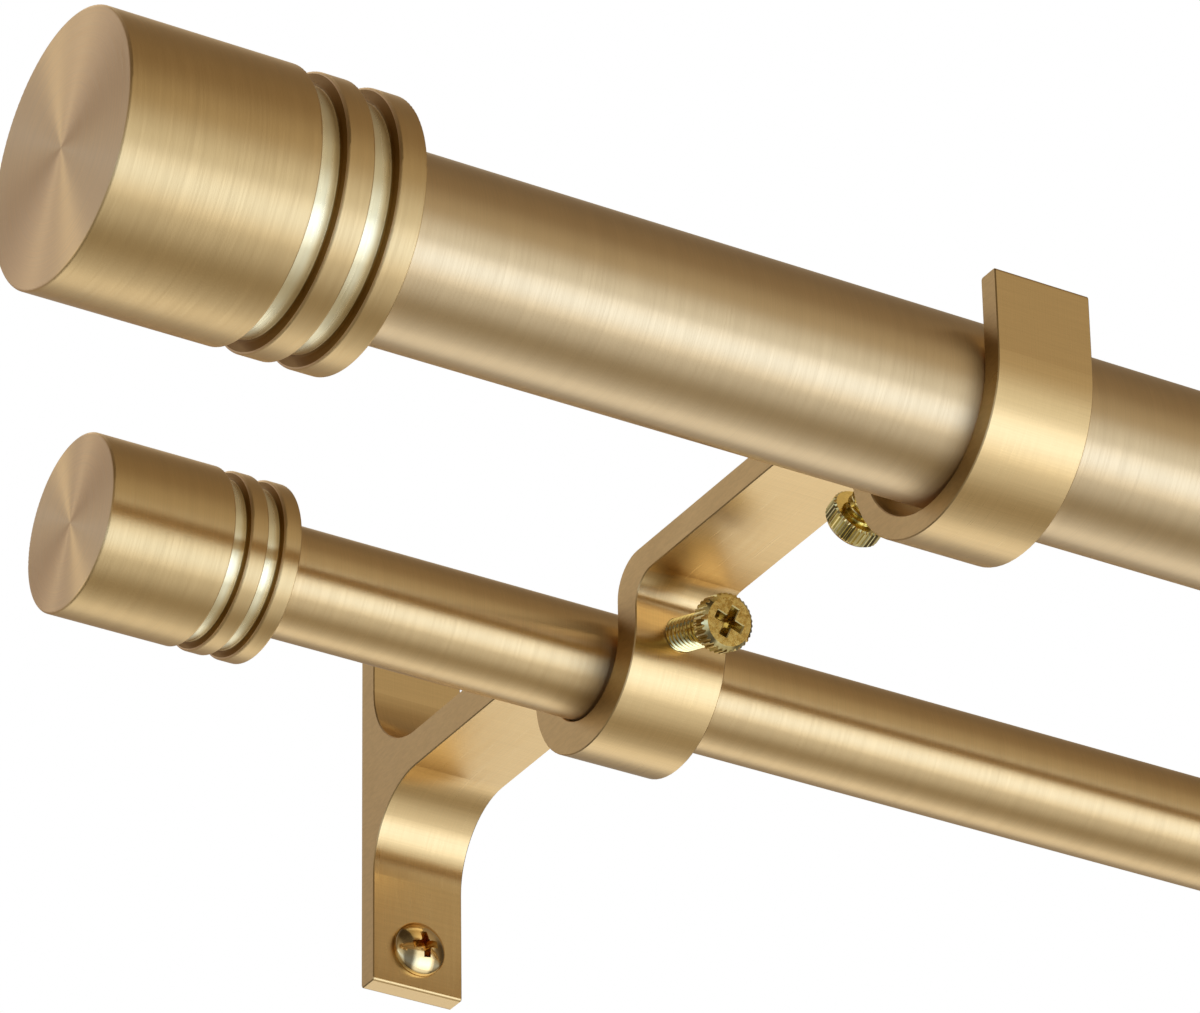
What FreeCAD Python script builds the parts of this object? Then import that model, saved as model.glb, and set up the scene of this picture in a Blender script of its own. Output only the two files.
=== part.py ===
import FreeCAD, Part
import math
import os
from collections import namedtuple

# Double curtain pole: two telescoping poles on one pair of brackets, a thick pole in front and a thin one
# behind it. Millimetres. X runs along the poles, +Y into the wall, +Z up. The origin lies in the wall plane,
# in the middle of the four wall screws. In the side view a place is given as its distance forwards from the
# wall and its height, so y = -forwards.

# Poles: the outer tube's diameter and wall, and the wall of the plastic bush that the inner tube runs in
FRONT_POLE_D = 25.4
FRONT_POLE_WALL = 0.9
FRONT_BUSH_WALL = 0.62
BACK_POLE_D = 15.9
BACK_POLE_WALL = 0.8
BACK_BUSH_WALL = 0.72
INNER_TUBE_WALL = 0.8

# Closed length of the front pole between its finials, and how far each pole stands out past the brackets
SPAN = 457.2
FRONT_OVERHANG = 85.6
BACK_OVERHANG = 51.4

# Wall plate and arms of the bracket
BRACKET_WIDTH = 14.7
PLATE_THICKNESS = 3.6
PLATE_HEIGHT = 64.3
REAR_ARM_THICKNESS = 5.8
FRONT_ARM_THICKNESS = 4.4
FRONT_ARM_TOP = 1.9
ROOT_FILLET = 12.0
CROOK_R = 1.2
CORNER_R = 0.5
EDGE_BREAK = 0.15

# Small cup for the back pole, under the middle of the arm
BACK_CUP_REACH = 63.6
BACK_CUP_PLAY = 0.85
BACK_CUP_WALL = 4.9
BACK_CUP_NECK = 1.9
BEND_INNER_R = 4.2
BEND_OUTER_R = 5.6

# Large cup for the front pole, at the end of the arm
CUP_SPACING = 86.1
FRONT_CUP_PLAY = 1.7
FRONT_CUP_WALL = 3.3
FRONT_CUP_NECK = 10.2
LIP_RISE = 12.25

# The thumb screws push each pole against its cup, in these directions below the horizontal
FRONT_SEAT_ANGLE = 30.0
BACK_SEAT_ANGLE = 22.0
SEAT_CLEARANCE = 0.02

# Thumb screws
THUMB_TILT = 17.5
FRONT_THUMB_RISE = 2.7
BACK_THUMB_RISE = -0.7
FRONT_THUMB_TURN = 25.0
BACK_THUMB_TURN = -17.0
THUMB_SHANK_D = 5.0
THUMB_SHANK_LENGTH = 16.0
THUMB_TIP_CHAMFER = 0.7
THUMB_HEAD_D = 8.2
THUMB_HEAD_HEIGHT = 3.2
THUMB_CONE_HEIGHT = 0.7
THUMB_CONE_WIDTH = 0.65
THUMB_FOOT_CHAMFER = 0.3
THUMB_FLUTES = 34
FLUTE_DEPTH = 0.25
TIP_CLEARANCE = 0.1
THREAD_CLEARANCE = 0.05

# Wall screws
WALL_SCREW_EDGE = 6.45
WALL_SCREW_TURN = 10.0
WALL_NECK_D = 3.2
WALL_SHANK_D = 4.0
WALL_SHANK_LENGTH = 12.0
WALL_POINT_LENGTH = 4.0
WALL_HEAD_D = 8.2
WALL_HEAD_HEIGHT = 2.6
WALL_HEAD_RIM = 0.8
WALL_HOLE_CLEARANCE = 0.25

# Cross recess of both kinds of screw
RECESS_SPAN = 4.6
RECESS_WIDTH = 1.15
RECESS_DEPTH = 1.9
RECESS_FLOOR_SPAN = 1.8

# Finials: how far they stand proud of the pole, the long body, two grooves and two ribs, and the bore
FRONT_FINIAL_RISE = 5.6
FRONT_FINIAL_BODY = 26.6
FRONT_GROOVE_WIDTH = 3.5
FRONT_GROOVE_DEPTH = 1.9
FRONT_RIB_WIDTH = 3.85
FRONT_BORE_DEPTH = 18.0
BACK_FINIAL_RISE = 4.7
BACK_FINIAL_BODY = 18.6
BACK_GROOVE_WIDTH = 2.4
BACK_GROOVE_DEPTH = 1.3
BACK_RIB_WIDTH = 2.65
BACK_BORE_DEPTH = 12.0
FINIAL_CHAMFER = 0.35
GROOVE_COVE_R = 0.4
FINIAL_FIT = 0.1
MOUTH_GAP = 0.3

# Plastic plugs under the finials, the studs in them, and the bushes and glides inside the outer tubes
PLUG_FLANGE = 1.5
PLUG_LENGTH = 13.0
PRESS_GAP = 0.03
STUD_D = 5.0
STUD_BITE = 5.0
BUSH_LENGTH = 12.0
GLIDE_COLLAR = 12.0
GLIDE_SPIGOT = 8.0
GLIDE_HOLE_D = 5.0
GLIDE_END_GAP = 5.0
SLIDE_CLEARANCE = 0.05

# How far a cutting tool runs past the face that it opens
PAST = 1.0

Cup = namedtuple("Cup", "forwards up inner outer")
Finial = namedtuple("Finial", "radius body groove depth rib bore")
Pole = namedtuple("Pole", "name radius wall inner axis half finial")
ThumbHole = namedtuple("ThumbHole", "mouth out wall")


def point(x, forwards, up):
    """A point given by its distance forwards from the wall."""
    return FreeCAD.Vector(x, -forwards, up)


def make_cup(forwards, up, pole_d, play, wall):
    """A cup that takes a pole with some play."""
    inner = pole_d / 2 + play
    return Cup(forwards, up, inner, inner + wall)


def seated_axis(cup, pole_d, side, below):
    """Height and distance of a pole's axis when the pole is pushed against its cup. side is 1 forwards."""
    shift = cup.inner - pole_d / 2 - SEAT_CLEARANCE
    angle = math.radians(below)
    return cup.forwards + side * shift * math.cos(angle), cup.up - shift * math.sin(angle)


def thumb_hole(cup, side, rise):
    """Mouth, outward direction and wall of a thumb screw's hole. side is 1 on a cup's front."""
    angle = math.radians(THUMB_TILT)
    mouth = point(0, cup.forwards + side * cup.outer, cup.up + rise)
    return ThumbHole(mouth, point(0, side * math.cos(angle), -math.sin(angle)), cup.outer - cup.inner)


def make_pole(name, diameter, wall, bush_wall, axis, half, finial):
    """A telescoping pole. half is half of its closed length between the finials."""
    inner = diameter / 2 - wall - PRESS_GAP - bush_wall - SLIDE_CLEARANCE
    return Pole(name, diameter / 2, wall, inner, axis, half, finial)


ARM_FOOT = FRONT_ARM_TOP - FRONT_ARM_THICKNESS
BACK_CUP = make_cup(
    BACK_CUP_REACH, ARM_FOOT - BEND_INNER_R - BACK_CUP_NECK, BACK_POLE_D, BACK_CUP_PLAY, BACK_CUP_WALL)
FRONT_CUP = make_cup(
    BACK_CUP_REACH + CUP_SPACING, ARM_FOOT - FRONT_CUP_NECK, FRONT_POLE_D, FRONT_CUP_PLAY, FRONT_CUP_WALL)
BACK_AXIS = seated_axis(BACK_CUP, BACK_POLE_D, -1, BACK_SEAT_ANGLE)
FRONT_AXIS = seated_axis(FRONT_CUP, FRONT_POLE_D, 1, FRONT_SEAT_ANGLE)
BACK_THUMB = thumb_hole(BACK_CUP, 1, BACK_THUMB_RISE)
FRONT_THUMB = thumb_hole(FRONT_CUP, -1, FRONT_THUMB_RISE)

WALL_SCREW_HEIGHT = PLATE_HEIGHT / 2 - WALL_SCREW_EDGE
BRACKET_X = SPAN / 2 - FRONT_OVERHANG - BRACKET_WIDTH / 2

FRONT_FINIAL = Finial(
    FRONT_POLE_D / 2 + FRONT_FINIAL_RISE, FRONT_FINIAL_BODY, FRONT_GROOVE_WIDTH, FRONT_GROOVE_DEPTH,
    FRONT_RIB_WIDTH, FRONT_BORE_DEPTH)
BACK_FINIAL = Finial(
    BACK_POLE_D / 2 + BACK_FINIAL_RISE, BACK_FINIAL_BODY, BACK_GROOVE_WIDTH, BACK_GROOVE_DEPTH,
    BACK_RIB_WIDTH, BACK_BORE_DEPTH)
FRONT_POLE = make_pole(
    "front", FRONT_POLE_D, FRONT_POLE_WALL, FRONT_BUSH_WALL, FRONT_AXIS, SPAN / 2, FRONT_FINIAL)
BACK_POLE = make_pole(
    "back", BACK_POLE_D, BACK_POLE_WALL, BACK_BUSH_WALL, BACK_AXIS,
    SPAN / 2 - FRONT_OVERHANG + BACK_OVERHANG, BACK_FINIAL)


def rounded_outline(corners, place):
    """A closed wire through corners (a, b, radius), with a tangent arc at each corner that has a radius."""
    spans = []
    for i, (a, b, radius) in enumerate(corners):
        here = FreeCAD.Vector(a, b, 0)
        before = corners[i - 1]
        after = corners[(i + 1) % len(corners)]
        back = (FreeCAD.Vector(before[0], before[1], 0) - here).normalize()
        on = (FreeCAD.Vector(after[0], after[1], 0) - here).normalize()
        half = back.getAngle(on) / 2
        reach = radius / math.tan(half)
        middle = here + (back + on).normalize() * (radius / math.sin(half) - radius)
        spans.append([here + back * reach, middle, here + on * reach])
    edges = []
    for i, (start, middle, end) in enumerate(spans):
        if corners[i][2] > 0:
            edges.append(Part.Arc(*[place(p.x, p.y) for p in (start, middle, end)]).toShape())
        following = spans[(i + 1) % len(spans)][0]
        if end.distanceToPoint(following) > Part.Precision.confusion():
            edges.append(Part.makeLine(place(end.x, end.y), place(following.x, following.y)))
    return Part.Wire(Part.__sortEdges__(edges))


def outward(solid):
    """The solid with its faces turned outwards."""
    return solid if solid.Volume > 0 else solid.reversed()


def turned_along(corners, axis, start, sense):
    """A solid turned about a pole's axis, from corners (distance from start, radius, corner radius)."""
    origin = point(start, *axis)
    face = Part.Face(rounded_outline(corners, lambda along, r: origin + FreeCAD.Vector(sense * along, 0, r)))
    return outward(face.revolve(origin, FreeCAD.Vector(1, 0, 0), 360))


def turned_upright(edges):
    """A solid turned about Z from the edges of its half section in the XZ plane."""
    face = Part.Face(Part.Wire(Part.__sortEdges__(edges)))
    return outward(face.revolve(FreeCAD.Vector(0, 0, 0), FreeCAD.Vector(0, 0, 1), 360))


def polygon_edges(points, closed):
    """Edges through points (radius, height) of a half section."""
    corners = [FreeCAD.Vector(r, 0, up) for r, up in points]
    return Part.makePolygon(corners + corners[:1] if closed else corners).Edges


def rod(radius, start, end):
    """A round bar from one point to another."""
    line = end - start
    return Part.makeCylinder(radius, line.Length, start, line)


def tube(radius, bore, axis, start, end):
    """A plain tube along a pole's axis."""
    corners = [(0, bore, 0), (0, radius, 0), (end - start, radius, 0), (end - start, bore, 0)]
    return turned_along(corners, axis, start, 1)


def save(shape, node):
    """Write one piece under its own name."""
    shape = shape.removeSplitter()
    if shape.ShapeType == "Compound" and len(shape.Solids) == 1:
        shape = shape.Solids[0]
    shape.exportStep(os.path.join("parts", node + ".step"))


def bracket_corners():
    """The bracket's side view from the foot of the wall plate, as corners (forwards, up, corner radius)."""
    plate = PLATE_HEIGHT / 2
    arm = REAR_ARM_THICKNESS / 2
    lip = FRONT_CUP.up + LIP_RISE
    back = BACK_CUP
    front = FRONT_CUP
    root = min(ROOT_FILLET, WALL_SCREW_HEIGHT - WALL_HEAD_D / 2 - arm)
    return [
        (0, -plate, CORNER_R),
        (PLATE_THICKNESS, -plate, CORNER_R),
        (PLATE_THICKNESS, -arm, root),
        (back.forwards - back.outer, -arm, CROOK_R),
        (back.forwards - back.outer, back.up - back.outer, back.outer),
        (back.forwards + back.outer, back.up - back.outer, back.outer),
        (back.forwards + back.outer, ARM_FOOT, BEND_INNER_R),
        (front.forwards - front.outer, ARM_FOOT, CROOK_R),
        (front.forwards - front.outer, front.up - front.outer, front.outer),
        (front.forwards + front.outer, front.up - front.outer, front.outer),
        (front.forwards + front.outer, lip, CORNER_R),
        (front.forwards + front.inner, lip, CORNER_R),
        (front.forwards + front.inner, front.up - front.inner, front.inner),
        (front.forwards - front.inner, front.up - front.inner, front.inner),
        (front.forwards - front.inner, FRONT_ARM_TOP, CORNER_R),
        (back.forwards + back.inner, FRONT_ARM_TOP, BEND_OUTER_R),
        (back.forwards + back.inner, back.up - back.inner, back.inner),
        (back.forwards - back.inner, back.up - back.inner, back.inner),
        (back.forwards - back.inner, arm, CORNER_R),
        (PLATE_THICKNESS, arm, root),
        (PLATE_THICKNESS, plate, CORNER_R),
        (0, plate, CORNER_R),
    ]


def bracket(middle):
    """One extruded bracket: wall plate, rear arm, small cup, front arm and large cup with its lip."""
    side = middle - BRACKET_WIDTH / 2
    outline = rounded_outline(bracket_corners(), lambda forwards, up: point(side, forwards, up))
    body = Part.Face(outline).extrude(FreeCAD.Vector(BRACKET_WIDTH, 0, 0))
    rims = [edge for edge in body.Edges if edge.BoundBox.XLength < EDGE_BREAK]
    body = body.makeChamfer(EDGE_BREAK, rims)
    wall_hole_r = WALL_SHANK_D / 2 + WALL_HOLE_CLEARANCE
    for up in (-WALL_SCREW_HEIGHT, WALL_SCREW_HEIGHT):
        start = point(middle, -PAST, up)
        body = body.cut(rod(wall_hole_r, start, point(middle, PLATE_THICKNESS + PAST, up)))
    thumb_hole_r = THUMB_SHANK_D / 2 + THREAD_CLEARANCE
    for hole in (FRONT_THUMB, BACK_THUMB):
        mouth = hole.mouth + FreeCAD.Vector(middle, 0, 0)
        start = mouth + hole.out * THUMB_SHANK_D
        body = body.cut(rod(thumb_hole_r, start, mouth - hole.out * (hole.wall + THUMB_SHANK_D)))
    return body


def cross_recess(top):
    """The cross-shaped hole in a screw's head, sunk from the given height on the Z axis."""
    floor = FreeCAD.Vector(0, 0, top - RECESS_DEPTH)
    cone = Part.makeCone(RECESS_FLOOR_SPAN / 2, RECESS_SPAN / 2, RECESS_DEPTH, floor)
    arms = []
    for length, width in ((RECESS_SPAN, RECESS_WIDTH), (RECESS_WIDTH, RECESS_SPAN)):
        corner = floor - FreeCAD.Vector(length / 2, width / 2, 0)
        arms.append(Part.makeBox(length, width, RECESS_DEPTH, corner))
    return cone.common(arms[0].fuse(arms[1]))


def fluted_bar(radius, height):
    """An upright bar with V-shaped flutes all round."""
    points = []
    for i in range(2 * THUMB_FLUTES):
        r = radius - FLUTE_DEPTH * (i % 2)
        angle = math.pi * i / THUMB_FLUTES
        points.append(FreeCAD.Vector(r * math.cos(angle), r * math.sin(angle), 0))
    return Part.Face(Part.makePolygon(points + points[:1])).extrude(FreeCAD.Vector(0, 0, height))


def put(screw, seat, out, turn):
    """Move an upright screw so that its head's underside lies at seat and its head points out."""
    tilt = FreeCAD.Rotation(FreeCAD.Vector(0, 0, 1), out)
    spin = FreeCAD.Rotation(FreeCAD.Vector(0, 0, 1), turn)
    screw.Placement = FreeCAD.Placement(seat, tilt.multiply(spin))
    return screw


def tip_depth(hole, pole):
    """How far a thumb screw's tip lies inside the hole's mouth when its edge meets the pole."""
    to_pole = point(0, *pole.axis) - hole.mouth
    along = -to_pole.dot(hole.out)
    aside = (to_pole + hole.out * along).Length
    nearest = max(0, aside - (THUMB_SHANK_D / 2 - THUMB_TIP_CHAMFER))
    return along - math.sqrt(pole.radius ** 2 - nearest ** 2) - TIP_CLEARANCE


def thumb_screw(middle, hole, pole, turn):
    """A thumb screw with a fluted head, in its hole, with its tip against the pole."""
    shank_r = THUMB_SHANK_D / 2
    head_r = THUMB_HEAD_D / 2
    head = turned_upright(polygon_edges([
        (0, 0),
        (head_r - THUMB_FOOT_CHAMFER, 0),
        (head_r, THUMB_FOOT_CHAMFER),
        (head_r, THUMB_HEAD_HEIGHT - THUMB_CONE_HEIGHT),
        (head_r - THUMB_CONE_WIDTH, THUMB_HEAD_HEIGHT),
        (0, THUMB_HEAD_HEIGHT),
    ], True))
    head = head.common(fluted_bar(head_r, THUMB_HEAD_HEIGHT))
    shank = turned_upright(polygon_edges([
        (0, -THUMB_SHANK_LENGTH),
        (shank_r - THUMB_TIP_CHAMFER, -THUMB_SHANK_LENGTH),
        (shank_r, THUMB_TIP_CHAMFER - THUMB_SHANK_LENGTH),
        (shank_r, 0),
        (0, 0),
    ], True))
    screw = head.fuse(shank).cut(cross_recess(THUMB_HEAD_HEIGHT))
    stand_out = THUMB_SHANK_LENGTH - tip_depth(hole, pole)
    seat = hole.mouth + FreeCAD.Vector(middle, 0, 0) + hole.out * stand_out
    return put(screw, seat, hole.out, turn)


def wall_screw(middle, up):
    """A wood screw with a domed head, a smooth neck through the wall plate and a wider shank in the wall."""
    head_r = WALL_HEAD_D / 2
    neck_r = WALL_NECK_D / 2
    shank_r = WALL_SHANK_D / 2
    tip = -WALL_SHANK_LENGTH
    rise = WALL_HEAD_HEIGHT - WALL_HEAD_RIM
    dome_r = (head_r ** 2 + rise ** 2) / (2 * rise)
    half = math.asin(head_r / dome_r) / 2
    crown = FreeCAD.Vector(dome_r * math.sin(half), 0, WALL_HEAD_HEIGHT - dome_r * (1 - math.cos(half)))
    edges = polygon_edges([
        (0, WALL_HEAD_HEIGHT),
        (0, tip),
        (shank_r, tip + WALL_POINT_LENGTH),
        (shank_r, -PLATE_THICKNESS),
        (neck_r, -PLATE_THICKNESS),
        (neck_r, 0),
        (head_r, 0),
        (head_r, WALL_HEAD_RIM),
    ], False)
    rim = FreeCAD.Vector(head_r, 0, WALL_HEAD_RIM)
    edges.append(Part.Arc(rim, crown, FreeCAD.Vector(0, 0, WALL_HEAD_HEIGHT)).toShape())
    screw = turned_upright(edges).cut(cross_recess(WALL_HEAD_HEIGHT))
    return put(screw, point(middle, PLATE_THICKNESS, up), point(0, 1, 0), WALL_SCREW_TURN)


def finial(kind, held_r, axis, face, sense):
    """A turned finial: a rib against the pole, a groove, a rib, a groove and the long body, with a blind bore."""
    floor = kind.radius - kind.depth
    cove = min(GROOVE_COVE_R, kind.depth / 2)
    corners = [(0, held_r + FINIAL_FIT, 0), (0, kind.radius, FINIAL_CHAMFER)]
    along = 0
    for _ in range(2):
        near = along + kind.rib
        along = near + kind.groove
        corners += [(near, kind.radius, FINIAL_CHAMFER), (near, floor, cove)]
        corners += [(along, floor, cove), (along, kind.radius, FINIAL_CHAMFER)]
    length = along + kind.body
    hole_r = STUD_D / 2 + THREAD_CLEARANCE
    corners += [
        (length, kind.radius, FINIAL_CHAMFER),
        (length, 0, 0),
        (kind.bore + STUD_BITE, 0, 0),
        (kind.bore + STUD_BITE, hole_r, 0),
        (kind.bore, hole_r, 0),
        (kind.bore, held_r + FINIAL_FIT, 0),
    ]
    return turned_along(corners, axis, face, sense)


def end_plug(kind, held_r, wall, axis, face, sense):
    """A plastic plug in the tube's end. Its flange lies between the tube and the bottom of the bore."""
    hole_r = STUD_D / 2 + THREAD_CLEARANCE
    plug_r = held_r - wall - PRESS_GAP
    shoulder = kind.bore - PLUG_FLANGE
    corners = [
        (kind.bore, hole_r, 0),
        (kind.bore, held_r, 0),
        (shoulder, held_r, 0),
        (shoulder, plug_r, 0),
        (shoulder - PLUG_LENGTH, plug_r, 0),
        (shoulder - PLUG_LENGTH, hole_r, 0),
    ]
    return turned_along(corners, axis, face, sense)


def stud(kind, axis, face, sense):
    """The stud that holds a finial to its plug."""
    near = face + sense * (kind.bore - PLUG_FLANGE - PLUG_LENGTH)
    far = face + sense * (kind.bore + STUD_BITE - THREAD_CLEARANCE)
    return rod(STUD_D / 2, point(near, *axis), point(far, *axis))


def glide(pole, start):
    """A plastic glide: a collar that runs in the outer tube, and a spigot in the end of the inner tube."""
    collar_r = pole.radius - pole.wall - SLIDE_CLEARANCE
    spigot_r = pole.inner - INNER_TUBE_WALL - PRESS_GAP
    corners = [
        (0, GLIDE_HOLE_D / 2, 0),
        (0, collar_r, 0),
        (GLIDE_COLLAR, collar_r, 0),
        (GLIDE_COLLAR, spigot_r, 0),
        (GLIDE_COLLAR + GLIDE_SPIGOT, spigot_r, 0),
        (GLIDE_COLLAR + GLIDE_SPIGOT, GLIDE_HOLE_D / 2, 0),
    ]
    return turned_along(corners, pole.axis, start, 1)


def save_pole(pole):
    """Write one pole: the outer tube on the left, the inner tube that slides out to the right, their ends."""
    kind = pole.finial
    axis = pole.axis
    socket = kind.bore - PLUG_FLANGE
    mouth = pole.half - MOUTH_GAP
    bore = pole.radius - pole.wall
    save(tube(pole.radius, bore, axis, -pole.half - socket, mouth), pole.name + "_outer_tube")
    bush_bore = pole.inner + SLIDE_CLEARANCE
    save(tube(bore - PRESS_GAP, bush_bore, axis, mouth - BUSH_LENGTH, mouth), pole.name + "_mouth_bush")
    glide_start = -pole.half - socket + PLUG_LENGTH + GLIDE_END_GAP
    save(glide(pole, glide_start), pole.name + "_glide")
    hidden_end = glide_start + GLIDE_COLLAR
    inner_bore = pole.inner - INNER_TUBE_WALL
    save(tube(pole.inner, inner_bore, axis, hidden_end, pole.half + socket), pole.name + "_inner_tube")
    for hand, sense, held_r, wall in (
            ("left", -1, pole.radius, pole.wall), ("right", 1, pole.inner, INNER_TUBE_WALL)):
        start = sense * pole.half
        name = pole.name + "_" + hand
        save(finial(kind, held_r, axis, start, sense), name + "_finial")
        save(end_plug(kind, held_r, wall, axis, start, sense), name + "_plug")
        save(stud(kind, axis, start, sense), name + "_stud")


def main():
    """Write every piece."""
    os.makedirs("parts", exist_ok=True)
    for hand, middle in (("left", -BRACKET_X), ("right", BRACKET_X)):
        save(bracket(middle), hand + "_bracket")
        save(thumb_screw(middle, FRONT_THUMB, FRONT_POLE, FRONT_THUMB_TURN), hand + "_front_thumb_screw")
        save(thumb_screw(middle, BACK_THUMB, BACK_POLE, BACK_THUMB_TURN), hand + "_back_thumb_screw")
        save(wall_screw(middle, WALL_SCREW_HEIGHT), hand + "_upper_wall_screw")
        save(wall_screw(middle, -WALL_SCREW_HEIGHT), hand + "_lower_wall_screw")
    save_pole(FRONT_POLE)
    save_pole(BACK_POLE)


if __name__ == "__main__":
    main()
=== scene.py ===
"""Looks of the double curtain pole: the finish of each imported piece, the detailed screws and the studio."""
import math

import bmesh
import bpy
from bpy.props import FloatProperty, FloatVectorProperty, IntProperty, PointerProperty
from mathutils import Matrix, Vector


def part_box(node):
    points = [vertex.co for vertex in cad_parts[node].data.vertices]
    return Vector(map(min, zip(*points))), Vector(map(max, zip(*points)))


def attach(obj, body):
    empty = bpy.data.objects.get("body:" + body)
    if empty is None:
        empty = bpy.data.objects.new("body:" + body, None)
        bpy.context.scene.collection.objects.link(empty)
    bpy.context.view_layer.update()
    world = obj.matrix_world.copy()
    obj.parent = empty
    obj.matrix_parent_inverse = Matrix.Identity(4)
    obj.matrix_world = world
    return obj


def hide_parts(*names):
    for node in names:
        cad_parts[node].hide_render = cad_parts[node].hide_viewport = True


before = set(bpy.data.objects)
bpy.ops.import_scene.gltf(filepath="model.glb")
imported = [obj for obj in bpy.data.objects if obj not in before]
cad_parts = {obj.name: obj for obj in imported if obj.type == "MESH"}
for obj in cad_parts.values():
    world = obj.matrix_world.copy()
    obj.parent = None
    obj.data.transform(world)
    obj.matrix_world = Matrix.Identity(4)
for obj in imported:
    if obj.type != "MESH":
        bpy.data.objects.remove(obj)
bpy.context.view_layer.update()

bl_info = {
    "name": "Double curtain pole",
    "version": (1, 0, 0),
    "blender": (4, 5, 0),
    "location": "View3D > Sidebar > Curtain pole",
    "description": "Dresses the packed curtain pole with satin gold finishes, threaded screws and a studio",
    "category": "Object",
}

MM = 0.001
HANDS = ("left", "right")
POLES = ("front", "back")

# In metres: points this close count as one, and points this close are merged after a cut
TINY = 1e-7
CLOSE = 2e-6

# The material slots of a screw
SHELL, RECESS, FACE = range(3)

# Steps in one turn of a thread
TURN_STEPS = 28

# How far the tool that cuts a recess stands out of the head, as a share of its depth
OVERSHOOT = 0.3

# The two grooves of a finial, as shares of its length, counted from the tube
GROOVE_PITCH = 0.177
RIB_WIDTH = 0.093

# Soft steps across a groove, counted from its rib: where the floor starts, where it ends, and where the
# painted shade on the floor beside the wall fades
GROOVE_FLOOR_START = (0.005, 0.009)
GROOVE_FLOOR_END = (0.080, 0.077)
GROOVE_SHADED_EDGE = (0.042, 0.012)

# In millimetres: how far under a finial's surface its grooves show, and how far from its ends they stay
GROOVE_RIM = (0.33, 0.38)
GROOVE_MARGIN = 0.4

# The light round the poles: the angle above the level in front, in degrees, and the full colour. The
# world's strength multiplies every colour, so these are divided by it
STRENGTH = 3.0
AROUND = (
    (-180, 0.32, 0.285, 0.24), (-145, 0.76, 0.80, 0.87), (-98, 0.42, 0.38, 0.31), (-60, 1.00, 1.06, 1.16),
    (-34, 1.36, 1.72, 2.45), (-8, 1.14, 1.24, 1.38), (25, 0.60, 0.54, 0.44), (60, 0.33, 0.26, 0.18),
    (95, 0.23, 0.18, 0.125), (130, 0.24, 0.215, 0.18), (160, 0.32, 0.295, 0.26), (180, 0.32, 0.285, 0.24))

# The share of that light along the poles, from the left at 0 to the right at 1, against a full share
ALONG = (
    (0.0, 0.5, 0.5, 0.5), (0.12, 0.4, 0.39, 0.37), (0.21, 0.12, 0.11, 0.1), (0.38, 0.12, 0.11, 0.1),
    (0.53, 0.79, 0.79, 0.79), (0.85, 0.79, 0.79, 0.79), (0.93, 0.24, 0.22, 0.20))
FULL_SHARE = 0.75

# The card that the faces looking left mirror to the camera: its colour over half a turn, which gives the
# turned ends of the finials their bow of light
CARD = (
    (0.0, 0.40, 0.37, 0.31), (0.03, 0.475, 0.44, 0.365), (0.07, 0.22, 0.21, 0.20),
    (0.11, 0.165, 0.157, 0.167), (0.3, 0.165, 0.156, 0.162), (0.42, 0.119, 0.101, 0.094),
    (0.6, 0.108, 0.091, 0.082), (0.75, 0.117, 0.101, 0.095), (0.9, 0.149, 0.136, 0.130),
    (0.965, 0.22, 0.205, 0.176), (1.0, 0.40, 0.37, 0.31))
CARD_TURN = 1.035
CARD_EDGE = (0.5, 0.85)

# The point between the poles that the lights aim at
AIM = Vector((0, -0.1, 0))


def middle(node):
    """The middle of a node's box."""
    low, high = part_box(node)
    return (low + high) / 2


def radius(node):
    """The outer radius of a round node that lies along X."""
    low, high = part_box(node)
    return (high.y - low.y) / 2


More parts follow.
